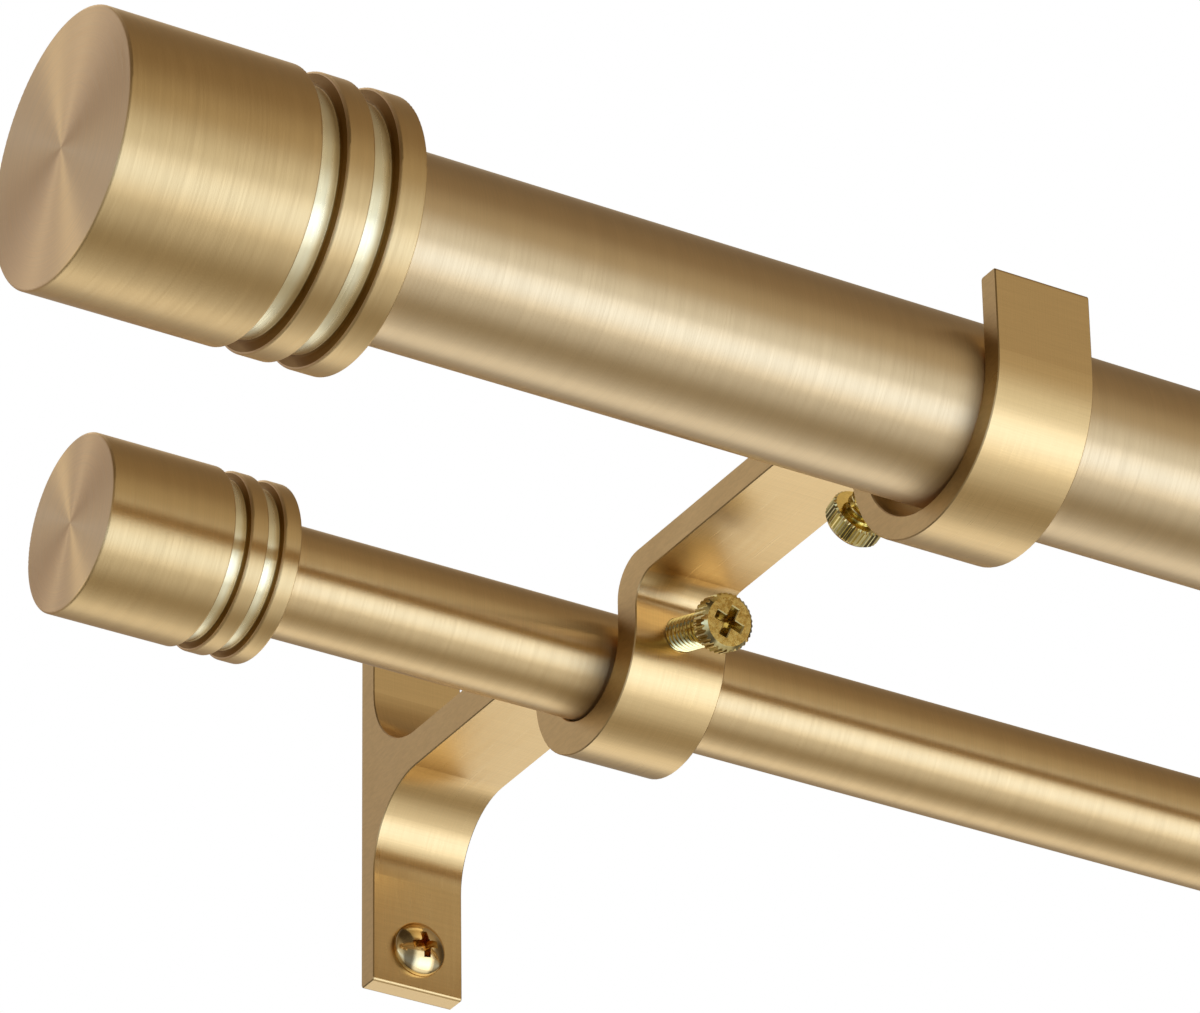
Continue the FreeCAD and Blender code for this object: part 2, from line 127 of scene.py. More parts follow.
class FinishSettings(bpy.types.PropertyGroup):
    """Colours, painted light and shade, and grain of the finishes."""
    satin: FloatVectorProperty(
        name="Satin gold", description="Colour of the front pole",
        subtype="COLOR", size=3, min=0, max=1, default=(0.78, 0.58, 0.325))
    # Painted shade: the back pole's own copy of the satin gold, more saturated and less blue, stands in for
    # the shade on the back pole
    back_pole_shaded_satin: FloatVectorProperty(
        name="Shaded satin gold, back", description="Colour of the back pole",
        subtype="COLOR", size=3, min=0, max=1, default=(0.79, 0.56, 0.275))
    # Painted light: a lighter, paler copy of the gold that the flat ends take, standing in for the light they
    # catch
    lit_face_gold: FloatVectorProperty(
        name="Lit face gold", description="Colour of the finials' flat ends",
        subtype="COLOR", size=3, min=0, max=1, default=(0.94, 0.70, 0.41))
    extruded: FloatVectorProperty(
        name="Extruded gold", description="Colour of the brackets",
        subtype="COLOR", size=3, min=0, max=1, default=(0.71, 0.495, 0.228))
    turned: FloatVectorProperty(
        name="Turned gold", description="Colour of the finials round their sides",
        subtype="COLOR", size=3, min=0, max=1, default=(0.84, 0.59, 0.275))
    bright: FloatVectorProperty(
        name="Cut gold", description="Colour of the freshly cut groove floors of the finials",
        subtype="COLOR", size=3, min=0, max=1, default=(1.0, 0.89, 0.57))
    # Painted shade: the dark colour of the finials' groove walls, standing in for the shade inside the
    # grooves
    deep: FloatVectorProperty(
        name="Painted groove shade", description="Colour of the groove walls of the finials",
        subtype="COLOR", size=3, min=0, max=1, default=(0.34, 0.19, 0.045))
    # Painted shade: the groove floors turn to this darker warm gold beside their walls
    floor_edge_shade: FloatVectorProperty(
        name="Painted floor edge shade", description="Colour of the groove floors beside their walls",
        subtype="COLOR", size=3, min=0, max=1, default=(0.92, 0.70, 0.33))
    brass: FloatVectorProperty(
        name="Plated brass", description="Colour of the thumb screws round their sides",
        subtype="COLOR", size=3, min=0, max=1, default=(0.90, 0.77, 0.37))
    # Painted reflection: the flat faces take a more orange copy of the brass, standing in for the warm
    # surroundings they mirror
    brass_face: FloatVectorProperty(
        name="Brass face reflection", description="Colour of the thumb screws' flat faces",
        subtype="COLOR", size=3, min=0, max=1, default=(0.90, 0.66, 0.20))
    polished: FloatVectorProperty(
        name="Polished pale gold", description="Colour of the wall screws",
        subtype="COLOR", size=3, min=0, max=1, default=(0.90, 0.68, 0.34))
    nylon: FloatVectorProperty(
        name="Nylon", description="Colour of the bushes, glides and plugs",
        subtype="COLOR", size=3, min=0, max=1, default=(0.55, 0.52, 0.46))
    steel: FloatVectorProperty(
        name="Zinc plated steel", description="Colour of the studs under the finials",
        subtype="COLOR", size=3, min=0, max=1, default=(0.62, 0.62, 0.60))
    tube_roughness: FloatProperty(
        name="Tube roughness", description="Roughness of the brushed tubes",
        subtype="FACTOR", min=0, max=1, default=0.37)
    tube_brushing: FloatProperty(
        name="Tube brushing", description="How far the tubes' reflections stretch across the streaks",
        subtype="FACTOR", min=0, max=1, default=0.92)
    finial_roughness: FloatProperty(
        name="Finial roughness", description="Roughness of the finials round their sides",
        subtype="FACTOR", min=0, max=1, default=0.40)
    finial_brushing: FloatProperty(
        name="Finial brushing", description="How far the finials' reflections stretch across the streaks",
        subtype="FACTOR", min=0, max=1, default=0.95)
    bracket_brushing: FloatProperty(
        name="Bracket brushing", description="How far the brackets' reflections stretch across the streaks",
        subtype="FACTOR", min=0, max=1, default=0.75)
    streak_width: FloatProperty(
        name="Streak width", description="Width of one brushed streak, in millimetres",
        min=0.05, max=2, default=0.22)
    streak_length: FloatProperty(
        name="Streak length", description="Length of one brushed streak, in millimetres",
        min=1, max=60, default=11)
    streak_depth: FloatProperty(
        name="Streak depth", description="Depth of the brushed streaks, in millimetres",
        min=0, max=0.05, default=0.0028, precision=4)


class ThumbScrewSettings(bpy.types.PropertyGroup):
    """Sizes of the thumb screws, in millimetres."""
    shank: FloatProperty(name="Shank diameter", description="Outer diameter of the thread", default=5.0)
    length: FloatProperty(name="Shank length", description="Length under the head", default=16.0)
    pitch: FloatProperty(name="Pitch", description="Distance from one thread to the next", default=1.0)
    head: FloatProperty(name="Head diameter", description="Diameter over the flutes", default=8.2)
    height: FloatProperty(name="Head height", description="Height of the head", default=3.2)
    flutes: IntProperty(name="Flutes", description="Number of flutes round the head", default=34, min=12)
    flute_depth: FloatProperty(name="Flute depth", description="Depth of one flute", default=0.29)
    foot_chamfer: FloatProperty(name="Foot chamfer", description="Chamfer under the head", default=0.3)
    cone_width: FloatProperty(
        name="Cone width", description="Width of the cone round the face", default=0.65)
    cone_height: FloatProperty(name="Cone height", description="Height of the cone", default=0.7)
    tip_width: FloatProperty(name="Tip width", description="Width of the cone at the tip", default=0.7)
    tip_height: FloatProperty(name="Tip height", description="Height of the cone at the tip", default=0.5)
    tilt: FloatProperty(
        name="Tilt", description="How far the heads point down from the level",
        subtype="ANGLE", default=math.radians(17.5))
    front_turn: FloatProperty(
        name="Front turn", description="Turn of the cross recess at the front pole",
        subtype="ANGLE", default=math.radians(25))
    back_turn: FloatProperty(
        name="Back turn", description="Turn of the cross recess at the back pole",
        subtype="ANGLE", default=math.radians(-17))


class WallScrewSettings(bpy.types.PropertyGroup):
    """Sizes of the wall screws, in millimetres."""
    shank: FloatProperty(name="Shank diameter", description="Outer diameter of the thread", default=4.0)
    neck: FloatProperty(name="Neck diameter", description="Diameter of the smooth neck", default=3.2)
    neck_length: FloatProperty(name="Neck length", description="Length of the smooth neck", default=3.6)
    length: FloatProperty(name="Shank length", description="Length under the head", default=12.0)
    point: FloatProperty(name="Point length", description="Length of the tapered point", default=4.0)
    pitch: FloatProperty(name="Pitch", description="Distance from one thread to the next", default=1.4)
    head: FloatProperty(name="Head diameter", description="Diameter of the head", default=8.2)
    height: FloatProperty(name="Head height", description="Height of the dome", default=2.6)
    rim: FloatProperty(name="Rim", description="Height of the head's upright rim", default=0.8)
    edge: FloatProperty(name="Edge", description="Break at the rim's edges", default=0.15)
    turn: FloatProperty(
        name="Turn", description="Turn of the cross recess", subtype="ANGLE", default=math.radians(10))


class RecessSettings(bpy.types.PropertyGroup):
    """Sizes of the cross recess in all screw heads, in millimetres."""
    span: FloatProperty(name="Span", description="Length of an arm at the top", default=4.6)
    width: FloatProperty(name="Width", description="Width of an arm at the top", default=1.15)
    depth: FloatProperty(name="Depth", description="Depth of the arms", default=1.9)
    floor_span: FloatProperty(name="Floor span", description="Length of an arm at its floor", default=1.8)
    floor_width: FloatProperty(name="Floor width", description="Width of an arm at its floor", default=0.83)
    core: FloatProperty(name="Core", description="Width over the cut inner corners", default=1.95)
    core_depth: FloatProperty(name="Core depth", description="Depth of the cut inner corners", default=1.5)
    core_long: FloatProperty(name="Core floor", description="Longer side of the core's floor", default=1.4)
    core_short: FloatProperty(
        name="Core floor, short", description="Shorter side of the core's floor", default=1.0)
    lip: FloatProperty(name="Lip", description="Width of the bevel round the recess", default=0.14)
    lip_span: FloatProperty(name="Lip span", description="Length that the bevel runs round", default=4.4)
    lip_width: FloatProperty(name="Lip width", description="Width that the bevel runs round", default=1.1)


class StageSettings(bpy.types.PropertyGroup):
    """Camera, lights and floor."""
    azimuth: FloatProperty(
        name="Azimuth", description="Turn of the camera about the upright axis",
        subtype="ANGLE", default=math.radians(-31.36))
    elevation: FloatProperty(
        name="Elevation", description="Height of the camera as an angle",
        subtype="ANGLE", default=math.radians(-30.08))
    roll: FloatProperty(
        name="Roll", description="Turn of the camera about its own line of sight",
        subtype="ANGLE", default=math.radians(-0.95))
    place: FloatVectorProperty(
        name="Camera place", description="Where the camera stands", subtype="TRANSLATION", size=3,
        default=(-0.6105, -0.83536, -0.50664))
    lens: FloatProperty(
        name="Lens", description="Focal length in millimetres, on a sensor 36 mm wide", default=222.06)
    key_level: FloatProperty(name="Key light", description="Brightness of the light in front", default=0.42)
    fill_level: FloatProperty(name="Fill light", description="Brightness of the light behind", default=0.32)
    floor_drop: FloatProperty(
        name="Floor", description="How far the floor lies under the wall screws",
        subtype="DISTANCE", default=3.5)
    floor_width: FloatProperty(
        name="Floor width", description="Width of the square floor", subtype="DISTANCE", default=80)


def link(tree, value, socket):
    """Link a socket, or set the value."""
    if isinstance(value, bpy.types.NodeSocket):
        tree.links.new(value, socket)
    else:
        socket.default_value = value


def calc(tree, operation, *values):
    """A Math node."""
    node = tree.nodes.new("ShaderNodeMath")
    node.operation = operation
    for value, socket in zip(values, node.inputs):
        link(tree, value, socket)
    return node.outputs[0]


def arrow(tree, operation, *values):
    """A Vector Math node."""
    node = tree.nodes.new("ShaderNodeVectorMath")
    node.operation = operation
    for value, socket in zip(values, node.inputs):
        link(tree, value, socket)
    return node.outputs["Value" if operation in ("LENGTH", "DOT_PRODUCT") else "Vector"]


def scaled(tree, vector, share):
    """A vector or a colour times a number."""
    return arrow(tree, "SCALE", vector, (0, 0, 0), (0, 0, 0), share)


def split(tree, vector):
    """The three numbers of a vector."""
    node = tree.nodes.new("ShaderNodeSeparateXYZ")
    tree.links.new(vector, node.inputs[0])
    return node.outputs[0], node.outputs[1], node.outputs[2]


def bundle(tree, x, y, z):
    """A vector from three numbers."""
    node = tree.nodes.new("ShaderNodeCombineXYZ")
    for value, socket in zip((x, y, z), node.inputs):
        link(tree, value, socket)
    return node.outputs[0]


def ramp(tree, value, low, high, to_low=0.0, to_high=1.0):
    """A smooth step of a number from one range to another."""
    node = tree.nodes.new("ShaderNodeMapRange")
    node.interpolation_type = "SMOOTHSTEP"
    for number, socket in zip((value, low, high, to_low, to_high), node.inputs):
        link(tree, number, socket)
    return node.outputs[0]


def cloud(tree, place, scale=1.0, detail=2.0, rough=0.5):
    """A noise pattern from 0 to 1."""
    node = tree.nodes.new("ShaderNodeTexNoise")
    link(tree, place, node.inputs["Vector"])
    node.inputs["Scale"].default_value = scale
    node.inputs["Detail"].default_value = detail
    node.inputs["Roughness"].default_value = rough
    return node.outputs[0]


def blend(tree, share, first, second):
    """A mix of two colours."""
    node = tree.nodes.new("ShaderNodeMix")
    node.data_type = "RGBA"
    link(tree, share, node.inputs["Factor"])
    for value, socket in ((first, node.inputs[6]), (second, node.inputs[7])):
        link(tree, value if isinstance(value, bpy.types.NodeSocket) else (*value, 1.0), socket)
    return node.outputs[2]


def relief(tree, height, depth, normal=None):
    """A Bump node for a height pattern from 0 to 1, with its depth in metres."""
    node = tree.nodes.new("ShaderNodeBump")
    node.inputs["Distance"].default_value = depth
    link(tree, height, node.inputs["Height"])
    if normal is not None:
        link(tree, normal, node.inputs["Normal"])
    return node.outputs[0]


def new_finish(name, metallic=1.0, brushing=0.0):
    """A material with its node tree and shader. brushing is how far its reflections stretch."""
    material = bpy.data.materials.new(name)
    material.use_nodes = True
    tree = material.node_tree
    surface = tree.nodes["Principled BSDF"]
    surface.inputs["Metallic"].default_value = metallic
    surface.inputs["Anisotropic"].default_value = brushing
    return material, tree, surface


def darker(colour, share):
    """A colour scaled by a share."""
    return tuple(min(1.0, part * share) for part in colour)


def dress(material, *nodes):
    """Put a material into every slot of the named nodes."""
    for name in nodes:
        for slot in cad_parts[name].material_slots:
            slot.material = material


def cut_grooves(tree, along, reach, ends, outer, shade, roughness):
    """Give a finial's grooves bright floors, and walls and floor edges in painted shade. along and reach are
    the places along and off its axis. Returns its shade and roughness with the grooves, and its share of
    metal."""
    finish = bpy.context.scene.pole_finish
    margin = GROOVE_MARGIN * MM
    shallow, deep = (outer - depth * MM for depth in GROOVE_RIM)
    inside = calc(
        tree, "MULTIPLY", ramp(tree, along, ends[0] + margin, ends[0] + 2 * margin),
        ramp(tree, along, ends[1] - 2 * margin, ends[1] - 3 * margin))
    sunk = calc(tree, "MULTIPLY", inside, ramp(tree, reach, shallow, deep))
    share = calc(tree, "DIVIDE", calc(tree, "SUBTRACT", along, ends[0]), ends[1] - ends[0])
    over = calc(tree, "SUBTRACT", calc(tree, "MODULO", share, GROOVE_PITCH), RIB_WIDTH)
    open_way = calc(
        tree, "MULTIPLY", ramp(tree, over, *GROOVE_FLOOR_START), ramp(tree, over, *GROOVE_FLOOR_END))
    floors = calc(tree, "MULTIPLY", sunk, open_way)
    walls = calc(tree, "SUBTRACT", sunk, floors)
    # Painted shade: the floor darkens to warm gold beside the wall, and the walls turn deep brown
    floor = blend(tree, ramp(tree, over, *GROOVE_SHADED_EDGE), finish.bright, finish.floor_edge_shade)
    shade = blend(tree, floors, blend(tree, walls, shade, finish.deep), floor)
    roughness = calc(tree, "SUBTRACT", roughness, calc(tree, "MULTIPLY", floors, 0.1))
    return shade, roughness, ramp(tree, floors, 0.0, 1.0, to_low=1.0, to_high=0.8)


def turned_gold(name, centre, colour, rough, brushing, ends=None, outer=None):
    """Satin gold brushed round a pole's axis, plain on flat ends, which take a lighter copy of the gold as
    painted light. A finial also gives its radius and how far out along X it starts and ends, and gets its
    grooves' own shades, with painted shade on their walls and beside them."""
    finish = bpy.context.scene.pole_finish
    material, tree, surface = new_finish(name, brushing=brushing)
    place = tree.nodes.new("ShaderNodeTexCoord").outputs["Object"]
    normal = tree.nodes.new("ShaderNodeNewGeometry").outputs["Normal"]
    x, y, z = split(tree, arrow(tree, "SUBTRACT", place, (0, centre.y, centre.z)))
    out = bundle(tree, 0.0, y, z)
    reach = arrow(tree, "LENGTH", out)
    round_way = arrow(tree, "CROSS_PRODUCT", (1, 0, 0), out)
    across = arrow(tree, "NORMALIZE", arrow(tree, "CROSS_PRODUCT", round_way, normal))
    link(tree, across, surface.inputs["Tangent"])
    facing = calc(tree, "ABSOLUTE", split(tree, normal)[0])
    flat = ramp(tree, facing, 0.8, 0.95)
    fine = 1 / (finish.streak_width * MM)
    slow = 1 / (finish.streak_length * MM)
    side = calc(tree, "MULTIPLY", x, fine)
    face = calc(tree, "MULTIPLY", reach, fine)
    sideways = calc(tree, "MULTIPLY", calc(tree, "SUBTRACT", 1.0, flat), side)
    way = calc(tree, "ADD", calc(tree, "MULTIPLY", flat, face), sideways)
    drawn = arrow(tree, "ADD", scaled(tree, out, slow), bundle(tree, way, 0.0, 0.0))
    streak = cloud(tree, drawn, detail=3.0, rough=0.6)
    broad = cloud(tree, arrow(tree, "MULTIPLY", place, (700, 40, 40)))
    mottle = cloud(tree, place, scale=1500.0, rough=0.6)
    tone = calc(tree, "ADD", calc(tree, "MULTIPLY", streak, 0.65), calc(tree, "MULTIPLY", broad, 0.35))
    # Painted light: flat ends take the lighter copy of the gold
    shade = blend(tree, flat, colour, finish.lit_face_gold)
    light = ramp(tree, tone, 0.3, 0.7, to_low=0.95, to_high=1.05)
    shade = scaled(tree, shade, light)
    roughness = ramp(tree, streak, 0.25, 0.75, to_low=rough - 0.04, to_high=rough + 0.04)
    roughness = calc(tree, "SUBTRACT", roughness, calc(tree, "MULTIPLY", flat, 0.05))
    bumps = relief(tree, streak, finish.streak_depth * MM)
    if ends:
        shade, roughness, metal = cut_grooves(
            tree, calc(tree, "ABSOLUTE", x), reach, ends, outer, shade, roughness)
        link(tree, metal, surface.inputs["Metallic"])
    link(tree, shade, surface.inputs["Base Color"])
    link(tree, roughness, surface.inputs["Roughness"])
    link(tree, relief(tree, mottle, 0.0015 * MM, bumps), surface.inputs["Normal"])
    return material


def extruded_gold(name):
    """Satin gold of the brackets: brushed round the profile, with plain satin sides painted darker as painted
    shade.
    """
    finish = bpy.context.scene.pole_finish
    material, tree, surface = new_finish(name, brushing=finish.bracket_brushing)
    place = tree.nodes.new("ShaderNodeTexCoord").outputs["Object"]
    normal = tree.nodes.new("ShaderNodeNewGeometry").outputs["Normal"]
    side = ramp(tree, calc(tree, "ABSOLUTE", split(tree, normal)[0]), 0.6, 0.9)
    link(tree, bundle(tree, calc(tree, "SUBTRACT", 1.0, side), 0.0, side), surface.inputs["Tangent"])
    fine = 1 / (finish.streak_width * MM)
    slow = 1 / (finish.streak_length * MM)
    streak = cloud(tree, arrow(tree, "MULTIPLY", place, (fine, slow, slow)), detail=3.0, rough=0.65)
    grain = cloud(tree, arrow(tree, "MULTIPLY", place, (1500, 700, 2600)), detail=3.0, rough=0.6)
    mottle = cloud(tree, place, scale=700.0, rough=0.6)
    hatch = cloud(tree, arrow(tree, "MULTIPLY", place, (slow * 0.8, fine, fine)), rough=0.6)
    tone = calc(tree, "ADD", calc(tree, "MULTIPLY", streak, 0.6), calc(tree, "MULTIPLY", hatch, 0.4))
    brushed = blend(
        tree, ramp(tree, tone, 0.32, 0.68), darker(finish.extruded, 0.93), darker(finish.extruded, 1.05))
    # Painted shade: the plain sides take a darker copy of the gold than the brushed faces
    plain = blend(
        tree, ramp(tree, grain, 0.3, 0.7), darker(finish.extruded, 0.84), darker(finish.extruded, 0.93))
    link(tree, blend(tree, side, brushed, plain), surface.inputs["Base Color"])
    link(tree, ramp(tree, streak, 0.25, 0.75, to_low=0.27, to_high=0.36), surface.inputs["Roughness"])
    height = calc(tree, "MULTIPLY", streak, calc(tree, "SUBTRACT", 1.0, side))
    bumps = relief(tree, height, finish.streak_depth * MM)
    link(tree, relief(tree, mottle, 0.004 * MM, bumps), surface.inputs["Normal"])
    return material


def plated(name, colour, rough, dull=0.75):
    """Shiny plated metal with faint marks from the plating barrel. dull is how bright its stains are, as a
    share of the colour."""
    material, tree, surface = new_finish(name)
    place = tree.nodes.new("ShaderNodeTexCoord").outputs["Object"]
    marks = cloud(tree, place, scale=1400.0, detail=4.0, rough=0.65)
    stains = cloud(tree, place, scale=330.0)
    tone = calc(tree, "ADD", calc(tree, "MULTIPLY", marks, 0.5), calc(tree, "MULTIPLY", stains, 0.5))
    shade = blend(tree, ramp(tree, tone, 0.35, 0.65), darker(colour, dull), colour)
    link(tree, shade, surface.inputs["Base Color"])
    link(tree, ramp(tree, marks, 0.3, 0.75, to_low=rough, to_high=rough * 1.9), surface.inputs["Roughness"])
    link(tree, relief(tree, marks, 0.004 * MM), surface.inputs["Normal"])
    return material


def moulded(name, colour):
    """Matt moulded nylon with a fine grain."""
    material, tree, surface = new_finish(name, metallic=0.0)
    surface.inputs["Subsurface Weight"].default_value = 0.1
    surface.inputs["Subsurface Radius"].default_value = (0.002, 0.002, 0.002)
    place = tree.nodes.new("ShaderNodeTexCoord").outputs["Object"]
    grain = cloud(tree, place, scale=2600.0, detail=3.0, rough=0.6)
    drift = cloud(tree, place, scale=120.0)
    shade = blend(tree, drift, darker(colour, 0.86), darker(colour, 1.08))
    link(tree, shade, surface.inputs["Base Color"])
    link(tree, ramp(tree, grain, 0.2, 0.8, to_low=0.42, to_high=0.6), surface.inputs["Roughness"])
    link(tree, relief(tree, grain, 0.01 * MM), surface.inputs["Normal"])
    return material


def deselect():
    """Leave edit mode and select nothing."""
    if bpy.context.object and bpy.context.object.mode != "OBJECT":
        bpy.ops.object.mode_set(mode="OBJECT")
    bpy.ops.object.select_all(action="DESELECT")


def pick(kind, test):
    """In edit mode, select only what passes the test. kind is "vert", "edge" or "face"."""
    bpy.ops.mesh.select_all(action="DESELECT")
    mesh = bmesh.from_edit_mesh(bpy.context.object.data)
    mesh.select_mode = {kind.upper()}
    for item in getattr(mesh, kind + "s"):
        if test(item):
            item.select_set(True)
    mesh.select_flush_mode()
    bmesh.update_edit_mesh(bpy.context.object.data)


def on_ring(ring):
    """A test for the vertices of one ring, given as (radius, height)."""
    return lambda point: (
        abs(point.co.xy.length - ring[0]) < TINY and abs(point.co.z - ring[1]) < TINY)


def turned_piece(name, rings, sides):
    """A turned piece, pulled up ring by ring from a circle. rings are (radius, height) in metres, with a
    radius of 0 at an end that is closed in a point."""
    deselect()
    body = [ring for ring in rings if ring[0] > 0]
    bpy.ops.mesh.primitive_circle_add(vertices=sides, radius=body[0][0], location=(0, 0, body[0][1]))
    bpy.ops.object.transform_apply(location=True, rotation=True, scale=True)
    piece = bpy.context.object
    piece.name = name
    bpy.ops.object.mode_set(mode="EDIT")
    bpy.ops.mesh.select_all(action="SELECT")
    for before, here in zip(body, body[1:]):
        bpy.ops.mesh.extrude_region_move(TRANSFORM_OT_translate={"value": (0, 0, here[1] - before[1])})
        share = here[0] / before[0]
        bpy.ops.transform.resize(value=(share, share, 1), center_override=(0, 0, here[1]))
    for end, ring in ((rings[0], body[0]), (rings[-1], body[-1])):
        pick("vert", on_ring(ring))
        if end[0] > 0:
            bpy.ops.mesh.edge_face_add()
        else:
            bpy.ops.mesh.extrude_region_move(TRANSFORM_OT_translate={"value": (0, 0, end[1] - ring[1])})
            bpy.ops.mesh.merge(type="CENTER")
    bpy.ops.mesh.select_all(action="SELECT")
    bpy.ops.mesh.remove_doubles(threshold=TINY)
    bpy.ops.mesh.normals_make_consistent(inside=False)
    bpy.ops.object.mode_set(mode="OBJECT")
    return piece


def thread(name, root, crest, foot, land, pitch, start, end):
    """A helical ridge from root to crest radius. foot and land are its widths there."""
    deselect()
    bpy.ops.mesh.primitive_plane_add(size=1, rotation=(math.pi / 2, 0, 0))
    bpy.ops.object.transform_apply(location=True, rotation=True, scale=True)
    piece = bpy.context.object
    piece.name = name
    bpy.ops.object.mode_set(mode="EDIT")
    bpy.ops.mesh.select_all(action="SELECT")
    bpy.ops.transform.resize(value=(crest - root, 1, foot), center_override=(0, 0, 0))
    bpy.ops.transform.translate(value=((root + crest) / 2, 0, start))
    pick("vert", lambda point: point.co.x > (root + crest) / 2)
    bpy.ops.transform.resize(value=(1, 1, land / foot), center_override=(crest, 0, start))
    bpy.ops.mesh.select_all(action="SELECT")
    bpy.ops.mesh.delete(type="ONLY_FACE")
    bpy.ops.object.mode_set(mode="OBJECT")
    helix = piece.modifiers.new("helix", "SCREW")
    helix.axis = "Z"
    helix.angle = math.tau
    helix.screw_offset = pitch
    helix.iterations = math.ceil((end - start) / pitch)
    helix.steps = helix.render_steps = TURN_STEPS
    bpy.ops.object.modifier_apply(modifier=helix.name)
    bpy.ops.object.mode_set(mode="EDIT")
    bpy.ops.mesh.select_all(action="SELECT")
    bpy.ops.mesh.remove_doubles(threshold=TINY)
    pick("edge", lambda edge: edge.is_boundary and abs(edge.verts[0].co.z - start) < foot)
    bpy.ops.mesh.edge_face_add()
    pick("edge", lambda edge: edge.is_boundary)
    bpy.ops.mesh.edge_face_add()
    bpy.ops.mesh.select_all(action="SELECT")
    bpy.ops.mesh.normals_make_consistent(inside=False)
    bpy.ops.object.mode_set(mode="OBJECT")
    return piece


def boolean(piece, tool, operation):
    """Cut, join or keep what a piece shares with a tool, and remove the tool."""
    deselect()
    bpy.context.view_layer.objects.active = piece
    piece.select_set(True)
    step = piece.modifiers.new("cut", "BOOLEAN")
    step.operation = operation
    step.solver = "EXACT"
    step.object = tool
    bpy.ops.object.modifier_apply(modifier=step.name)
    bpy.data.objects.remove(tool)


def coat_slots(piece, index):
    """Give a piece the slots of a screw, shell, recess and face, and put all its faces into one of them."""
    piece.data.materials.clear()
    for name in ("shell", "recess", "face"):
        piece.data.materials.append(bpy.data.materials.get(name) or bpy.data.materials.new(name))
    for face in piece.data.polygons:
        face.material_index = index


def recess_arm(length, width, depth, floor_length, floor_width, top, turn):
    """The tool for one slot of a cross recess: a wedge that narrows towards its floor, and stands out of
    the head by a share of its depth."""
    deselect()
    half_way = top - depth / 2
    bpy.ops.mesh.primitive_cube_add(size=1, location=(0, 0, half_way))
    bpy.ops.object.transform_apply(location=True, rotation=True, scale=True)
    tool = bpy.context.object
    bpy.ops.object.mode_set(mode="EDIT")
    bpy.ops.mesh.select_all(action="SELECT")
    bpy.ops.transform.resize(value=(length, width, depth), center_override=(0, 0, half_way))
    pick("vert", lambda point: point.co.z < half_way)
    bpy.ops.transform.resize(
        value=(floor_length / length, floor_width / width, 1), center_override=(0, 0, top - depth))
    pick("vert", lambda point: point.co.z > half_way)
    bpy.ops.transform.translate(value=(0, 0, depth * OVERSHOOT))
    long = 1 + OVERSHOOT * (length - floor_length) / length
    wide = 1 + OVERSHOOT * (width - floor_width) / width
    bpy.ops.transform.resize(value=(long, wide, 1), center_override=(0, 0, top))
    bpy.ops.object.mode_set(mode="OBJECT")
    tool.rotation_euler.z = turn
    bpy.ops.object.transform_apply(location=True, rotation=True, scale=True)
    coat_slots(tool, RECESS)
    return tool


def sink_recess(piece, top):
    """Sink a cross recess with cut inner corners and bevelled lips into a head of a given height."""
    size = bpy.context.scene.pole_recess
    span, width, depth = size.span * MM, size.width * MM, size.depth * MM
    floor_span, floor_width = size.floor_span * MM, size.floor_width * MM
    core, core_depth = size.core * MM, size.core_depth * MM
    core_short, core_long = size.core_short * MM, size.core_long * MM
    lip, lip_span, lip_width = size.lip * MM, size.lip_span * MM, size.lip_width * MM
    coat_slots(piece, SHELL)
    for face in piece.data.polygons:
        if face.normal.z > 0.999:
            face.material_index = FACE
    for turn in (0.0, math.pi / 2):
        arm = recess_arm(span, width, depth, floor_span, floor_width, top, turn)
        boolean(piece, arm, "DIFFERENCE")
    corners = recess_arm(core, core, core_depth, core_short, core_long, top, math.pi / 4)
    boolean(piece, corners, "DIFFERENCE")
    for turn in (0.0, math.pi / 2):
        bevel = recess_arm(lip_span + 2 * lip, lip_width + 2 * lip, lip, lip_span, lip_width, top, turn)
        coat_slots(bevel, SHELL)
        boolean(piece, bevel, "DIFFERENCE")
    bpy.ops.object.mode_set(mode="EDIT")
    bpy.ops.mesh.select_all(action="SELECT")
    bpy.ops.mesh.remove_doubles(threshold=CLOSE)
    bpy.ops.object.mode_set(mode="OBJECT")


def join(name, pieces):
    """Join pieces into the first one."""
    deselect()
    for piece in pieces:
        piece.select_set(True)
    bpy.context.view_layer.objects.active = pieces[0]
    bpy.ops.object.join()
    pieces[0].name = name
    return pieces[0]


def smooth_by_angle(piece, degrees):
    """Shade smooth, with edges sharper than the angle left sharp."""
    deselect()
    bpy.context.view_layer.objects.active = piece
    piece.select_set(True)
    bpy.ops.object.shade_smooth_by_angle(angle=math.radians(degrees))


def copy_to(piece, name, place, body, node):
    """Copy a finished piece to its place, with a mesh of its own, riding on a body in place of a node."""
    new = piece.copy()
    new.data = piece.data.copy()
    new.name = name
    bpy.context.scene.collection.objects.link(new)
    new.matrix_world = place
    deselect()
    new.select_set(True)
    bpy.context.view_layer.objects.active = new
    bpy.ops.object.transform_apply(location=True, rotation=True, scale=True)
    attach(new, body)
    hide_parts(node)


def seat(node, out, length, turn):
    """The matrix that puts an upright screw with its underside at height 0 where a CAD screw stands."""
    side = Vector((0, -out.z, out.y))
    points = [vertex.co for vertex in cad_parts[node].data.vertices]
    along = min(point.dot(out) for point in points) + length
    aside = [point.dot(side) for point in points]
    across = [point.x for point in points]
    origin = out * along + side * (min(aside) + max(aside)) / 2
    origin.x = (min(across) + max(across)) / 2
    tilted = out.to_track_quat("Z", "Y").to_matrix().to_4x4()
    return Matrix.Translation(origin) @ tilted @ Matrix.Rotation(turn, 4, "Z")


def aimed(right, up, back, place):
    """The matrix of a lamp or camera at a place, from where its right, its top and its back point."""
    return Matrix((
        (right.x, up.x, back.x, place.x), (right.y, up.y, back.y, place.y),
        (right.z, up.z, back.z, place.z), (0, 0, 0, 1)))


